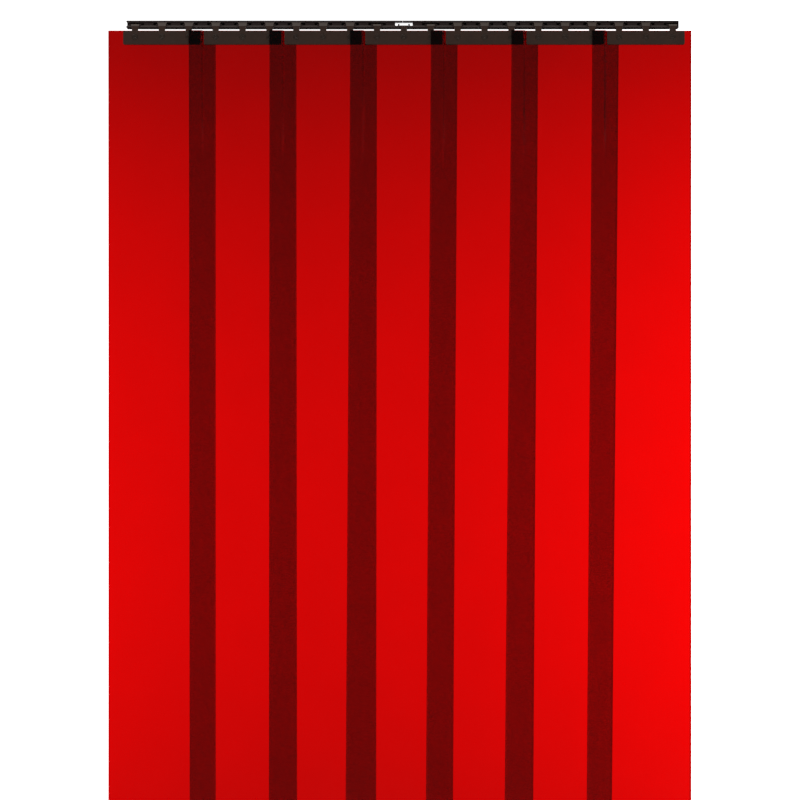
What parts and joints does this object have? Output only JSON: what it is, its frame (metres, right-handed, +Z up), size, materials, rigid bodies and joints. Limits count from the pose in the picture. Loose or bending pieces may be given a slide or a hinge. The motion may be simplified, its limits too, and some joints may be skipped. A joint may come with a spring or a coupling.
{
  "type": "welding strip curtain",
  "caption": "Hook-on welding strip curtain: overlapping tinted transparent PVC strips, each riveted between plates that hook over a windowed header rail and swing on it.",
  "frame": {"origin": "on the header rail's wall face, behind the axis of the hook bar, at the middle hook", "axes": "+X along the rail, to the right for someone in front of the curtain; +Y back into the wall; +Z up"},
  "size_m": [1.085, 0.0625, 2.0184],
  "materials": {
    "rail_plastic": "moulded polypropylene, fine texture",
    "plate_plastic": "moulded polypropylene, fine texture",
    "rivet_plastic": "moulded nylon",
    "tinted_pvc": "extruded soft PVC, transparent red",
    "yellow_zinc": "yellow zinc plate"
  },
  "bodies": {
    "header_rail": {"rail_section_left": "rail_plastic", "rail_section_right": "rail_plastic", "fixing_screw_1": "yellow_zinc", "fixing_screw_2": "yellow_zinc", "fixing_screw_3": "yellow_zinc", "fixing_screw_4": "yellow_zinc"},
    "hung_strip_1": {"front_plate_1": "plate_plastic", "back_plate_1": "plate_plastic", "strip_1": "tinted_pvc", "rivet_1_1": "rivet_plastic", "rivet_1_2": "rivet_plastic", "rivet_1_3": "rivet_plastic"},
    "hung_strip_2": {"front_plate_2": "plate_plastic", "back_plate_2": "plate_plastic", "strip_2": "tinted_pvc", "rivet_2_1": "rivet_plastic", "rivet_2_2": "rivet_plastic", "rivet_2_3": "rivet_plastic"},
    "hung_strip_3": {"front_plate_3": "plate_plastic", "back_plate_3": "plate_plastic", "strip_3": "tinted_pvc", "rivet_3_1": "rivet_plastic", "rivet_3_2": "rivet_plastic", "rivet_3_3": "rivet_plastic"},
    "hung_strip_4": {"front_plate_4": "plate_plastic", "back_plate_4": "plate_plastic", "strip_4": "tinted_pvc", "rivet_4_1": "rivet_plastic", "rivet_4_2": "rivet_plastic", "rivet_4_3": "rivet_plastic"},
    "hung_strip_5": {"front_plate_5": "plate_plastic", "back_plate_5": "plate_plastic", "strip_5": "tinted_pvc", "rivet_5_1": "rivet_plastic", "rivet_5_2": "rivet_plastic", "rivet_5_3": "rivet_plastic"},
    "hung_strip_6": {"front_plate_6": "plate_plastic", "back_plate_6": "plate_plastic", "strip_6": "tinted_pvc", "rivet_6_1": "rivet_plastic", "rivet_6_2": "rivet_plastic", "rivet_6_3": "rivet_plastic"},
    "hung_strip_7": {"front_plate_7": "plate_plastic", "back_plate_7": "plate_plastic", "strip_7": "tinted_pvc", "rivet_7_1": "rivet_plastic", "rivet_7_2": "rivet_plastic", "rivet_7_3": "rivet_plastic"}
  },
  "joints": [
    {"name": "strip_4_swing", "type": "hinge", "parent": "header_rail", "child": "hung_strip_4", "pos_m": [0, -0.0197, 0], "axis": [-1, 0, 0], "range_deg": [-20, 20]},
    {"name": "strip_5_swing", "type": "hinge", "parent": "hung_strip_4", "child": "hung_strip_5", "pos_m": [0.15, -0.0197, 0], "axis": [-1, 0, 0], "range_deg": [0, 12]},
    {"name": "strip_6_swing", "type": "hinge", "parent": "hung_strip_5", "child": "hung_strip_6", "pos_m": [0.3, -0.0197, 0], "axis": [-1, 0, 0], "range_deg": [0, 12]},
    {"name": "strip_7_swing", "type": "hinge", "parent": "hung_strip_6", "child": "hung_strip_7", "pos_m": [0.45, -0.0197, 0], "axis": [-1, 0, 0], "range_deg": [0, 12]},
    {"name": "strip_3_swing", "type": "hinge", "parent": "hung_strip_4", "child": "hung_strip_3", "pos_m": [-0.15, -0.0197, 0], "axis": [-1, 0, 0], "range_deg": [-12, 0]},
    {"name": "strip_2_swing", "type": "hinge", "parent": "hung_strip_3", "child": "hung_strip_2", "pos_m": [-0.3, -0.0197, 0], "axis": [-1, 0, 0], "range_deg": [-12, 0]},
    {"name": "strip_1_swing", "type": "hinge", "parent": "hung_strip_2", "child": "hung_strip_1", "pos_m": [-0.45, -0.0197, 0], "axis": [-1, 0, 0], "range_deg": [-12, 0]}
  ]
}
